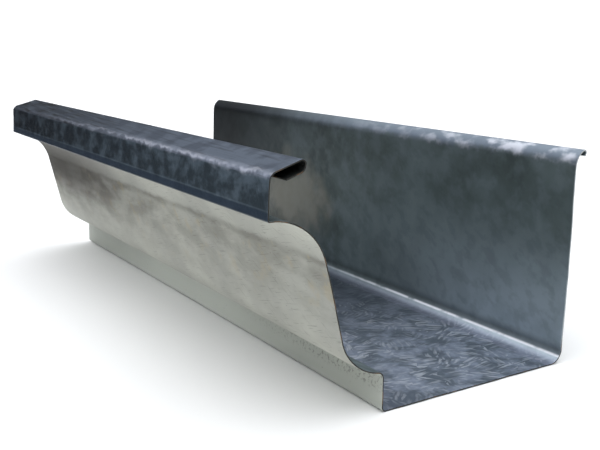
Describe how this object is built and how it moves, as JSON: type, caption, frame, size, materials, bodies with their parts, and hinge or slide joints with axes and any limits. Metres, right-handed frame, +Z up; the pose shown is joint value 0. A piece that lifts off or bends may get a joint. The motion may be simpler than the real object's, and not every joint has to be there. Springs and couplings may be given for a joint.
{
  "type": "gutter section",
  "caption": "Short straight length of K-style ogee eaves gutter in galvanised steel, with a hooked front bead and a turned-out back lip.",
  "frame": {"origin": "on the resting surface, under the middle of the overall box", "axes": "+X along the gutter, +Y from the ogee front to the back wall, +Z up"},
  "size_m": [0.3048, 0.1318, 0.0879],
  "materials": {
    "galvanised_steel": "weathered hot-dip zinc with spangle"
  },
  "bodies": {
    "root": {"gutter_section": "galvanised_steel"}
  },
  "joints": []
}
